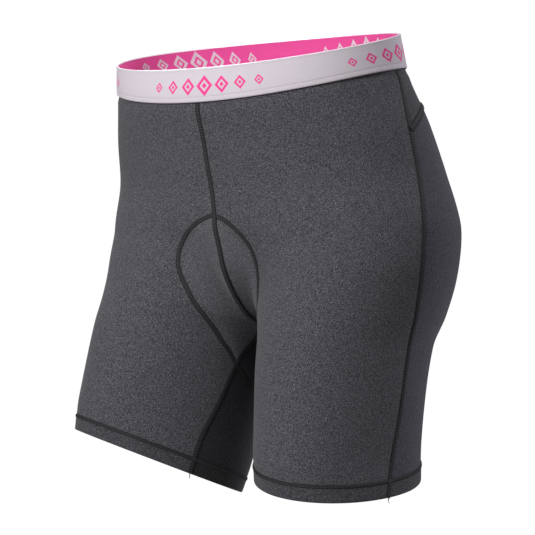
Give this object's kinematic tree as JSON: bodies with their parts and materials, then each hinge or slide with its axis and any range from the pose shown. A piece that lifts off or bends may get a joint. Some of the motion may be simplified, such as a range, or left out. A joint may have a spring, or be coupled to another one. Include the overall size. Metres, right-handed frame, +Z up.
{
  "type": "padded cycling shorts",
  "caption": "Close-fitting charcoal cycling shorts with a pale elastic waistband, held open in a walking pose as if worn, with sewn pad outline and turned-up hems.",
  "frame": {"origin": "middle of the waist opening, at the level of the waistband's rim", "axes": "+Z up out of the waist opening, wearer faces -Y, +X is the wearer's left"},
  "size_m": [0.3462, 0.2643, 0.4279],
  "materials": {
    "charcoal_knit": "matt heather knit",
    "waist_elastic": "matt knitted elastic, pink on the inside"
  },
  "bodies": {
    "root": {"waistband": "waist_elastic", "front_right": "charcoal_knit", "front_left": "charcoal_knit", "back_yoke": "charcoal_knit", "back_right": "charcoal_knit", "back_left": "charcoal_knit", "hem_right": "charcoal_knit", "hem_left": "charcoal_knit"}
  },
  "joints": []
}
